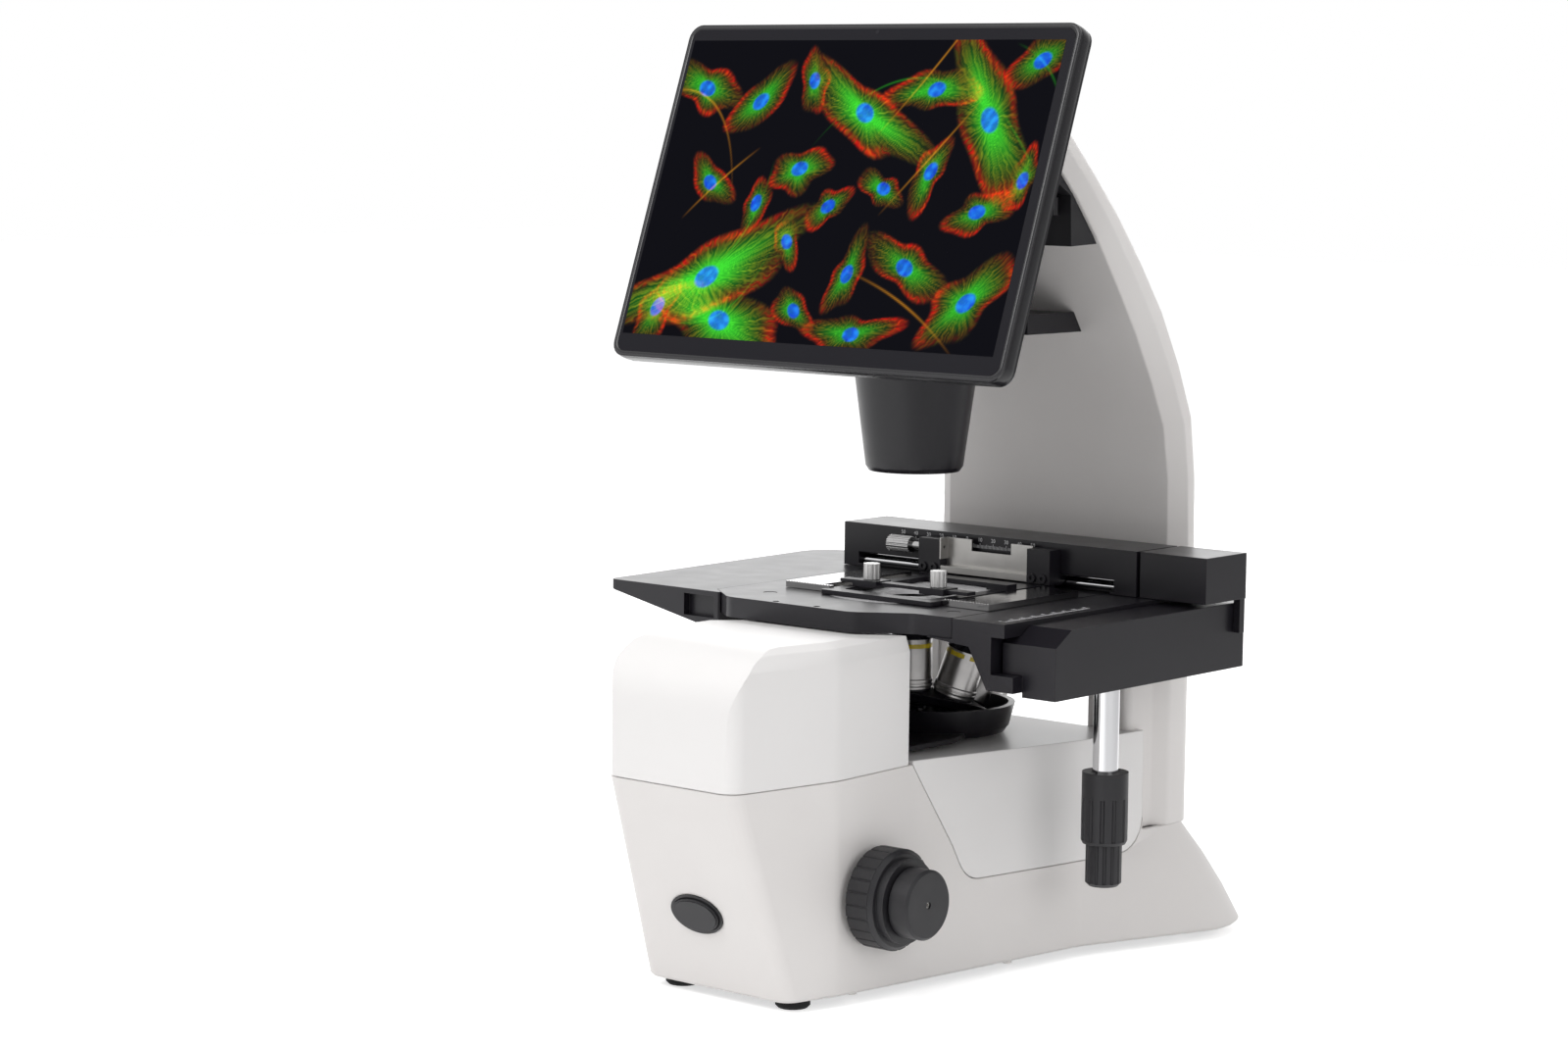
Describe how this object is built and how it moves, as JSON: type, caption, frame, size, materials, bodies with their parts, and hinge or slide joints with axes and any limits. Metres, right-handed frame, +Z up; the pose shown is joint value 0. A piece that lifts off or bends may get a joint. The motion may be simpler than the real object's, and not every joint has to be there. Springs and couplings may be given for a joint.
{
  "type": "inverted compound microscope for life science work",
  "caption": "White inverted microscope with a curved arm, a tilting flat screen, a black mechanical stage with a hanging control, a tilted nosepiece under the stage and focus knobs on both sides",
  "frame": {"origin": "the point where the optical axis meets the bench plane under the feet", "axes": "+X to the operator's right, +Y to the back, +Z up"},
  "size_m": [0.337, 0.4232, 0.5513],
  "materials": {
    "white_paint": "fine satin powder coat",
    "white_cover": "smooth satin moulding",
    "black_anodised": "fine matt black anodising",
    "black_plastic": "fine grained",
    "rubber": "matt",
    "steel": "brushed",
    "chrome": "polished",
    "satin_alloy": "satin",
    "brass": "machined",
    "optical_glass": "coated",
    "mirror_glass": "front coated",
    "screen_glass": "glossy black",
    "board_green": "solder mask"
  },
  "bodies": {
    "stand": {"base_housing": "white_paint", "bottom_plate": "black_anodised", "rubber_feet": "rubber", "base_screws": "steel", "power_bezel": "black_plastic", "power_inlet": "black_plastic", "deck_housing": "white_cover", "front_cover": "white_cover", "arm_shell": "white_paint", "stage_plate": "black_anodised", "left_wing": "black_anodised", "stage_insert": "satin_alloy", "slide_housing": "black_anodised", "stage_screws": "steel", "control_tube": "chrome", "slide_guide": "black_anodised", "lower_mirror": "mirror_glass", "tube_lens": "optical_glass", "camera_unit": "black_anodised", "power_board": "board_green", "condenser_bracket": "black_anodised", "condenser_housing": "black_anodised", "condenser_lens": "optical_glass", "lamp_cover": "black_plastic", "lamp_unit": "satin_alloy", "screen_hinge": "black_anodised"},
    "button": {"power_button": "black_plastic"},
    "focus_coarse": {"coarse_shaft": "steel", "focus_pinion": "brass", "coarse_knob_right": "black_plastic", "coarse_knob_left": "black_plastic"},
    "focus_fine": {"fine_shaft": "steel", "fine_knob_right": "black_plastic", "fine_knob_left": "black_plastic"},
    "nosepiece": {"focus_arm": "black_anodised", "focus_rack": "brass"},
    "turret": {"turret": "black_anodised", "objective_main": "satin_alloy", "objective_second": "satin_alloy", "objective_short": "satin_alloy", "turret_plug": "black_plastic"},
    "cross_slide": {"cross_housing": "black_anodised", "guide_rods": "chrome"},
    "carriage": {"carriage_plate": "steel", "carriage_blocks": "black_anodised", "block_screws": "steel", "holder_frame": "black_anodised", "specimen_plates": "steel"},
    "lock_screw": {"lock_screw": "steel"},
    "clamp_bar": {"clamp_bar": "black_anodised"},
    "clamp_knob_left": {"clamp_knob_left": "satin_alloy"},
    "clamp_knob_right": {"clamp_knob_right": "satin_alloy"},
    "control_upper": {"upper_control_knob": "black_plastic"},
    "control_lower": {"lower_control_knob": "black_plastic"},
    "lamp_clamp": {"lamp_clamp": "black_plastic"},
    "screen": {"screen_mount": "black_anodised", "screen_housing": "black_plastic", "screen_glass": "screen_glass"}
  },
  "joints": [
    {"name": "power_press", "type": "slide", "parent": "stand", "child": "button", "axis": [0, 0.9463, 0.3231], "range_m": [0, 0.0012], "stiffness_N_per_m": 400, "springref_m": -0.002},
    {"name": "coarse_turn", "type": "hinge", "parent": "stand", "child": "focus_coarse", "pos_m": [0, -0.111, 0.06], "axis": [1, 0, 0], "range_deg": [-15, 47]},
    {"name": "fine_turn", "type": "hinge", "parent": "focus_coarse", "child": "focus_fine", "pos_m": [0, -0.111, 0.06], "axis": [1, 0, 0], "continuous": true},
    {"name": "nosepiece_lift", "type": "slide", "parent": "stand", "child": "nosepiece", "axis": [0, 0, 1], "range_m": [-0.002, 0.0065]},
    {"name": "turret_turn", "type": "hinge", "parent": "nosepiece", "child": "turret", "pos_m": [0, 0.02096, 0.15438], "axis": [0, 0.2588, 0.9659], "continuous": true},
    {"name": "cross_slide_y", "type": "slide", "parent": "stand", "child": "cross_slide", "axis": [0, 1, 0], "range_m": [-0.055, 0.018]},
    {"name": "carriage_x", "type": "slide", "parent": "cross_slide", "child": "carriage", "axis": [1, 0, 0], "range_m": [-0.045, 0.036]},
    {"name": "lock_turn", "type": "hinge", "parent": "carriage", "child": "lock_screw", "pos_m": [-0.06, 0.0692, 0.2347], "axis": [1, 0, 0], "continuous": true},
    {"name": "clamp_bar_slide", "type": "slide", "parent": "carriage", "child": "clamp_bar", "axis": [0, 1, 0], "range_m": [-0.01, 0.02]},
    {"name": "clamp_left_turn", "type": "hinge", "parent": "clamp_bar", "child": "clamp_knob_left", "pos_m": [-0.02, -0.014, 0.225], "axis": [0, 0, 1], "continuous": true},
    {"name": "clamp_right_turn", "type": "hinge", "parent": "clamp_bar", "child": "clamp_knob_right", "pos_m": [0.0305, -0.014, 0.225], "axis": [0, 0, 1], "continuous": true},
    {"name": "upper_turn", "type": "hinge", "parent": "stand", "child": "control_upper", "pos_m": [0.131, 0.017, 0.1], "axis": [0, 0, 1], "range_deg": [-316, 104]},
    {"name": "lower_turn", "type": "hinge", "parent": "stand", "child": "control_lower", "pos_m": [0.131, 0.017, 0.07], "axis": [0, 0, 1], "range_deg": [-258, 207]},
    {"name": "lamp_clamp_turn", "type": "hinge", "parent": "stand", "child": "lamp_clamp", "pos_m": [0.07, 0.0353, 0.447], "axis": [0, 0, 1], "continuous": true},
    {"name": "screen_tilt", "type": "hinge", "parent": "stand", "child": "screen", "pos_m": [0, -0.03901, 0.48784], "axis": [1, 0, 0], "range_deg": [-10, 12]}
  ],
  "couplings": [
    {"joint": "coarse_turn", "follows": "nosepiece_lift", "rad_per_m": 125},
    {"joint": "upper_turn", "follows": "cross_slide_y", "rad_per_m": 100},
    {"joint": "lower_turn", "follows": "carriage_x", "rad_per_m": 100}
  ]
}
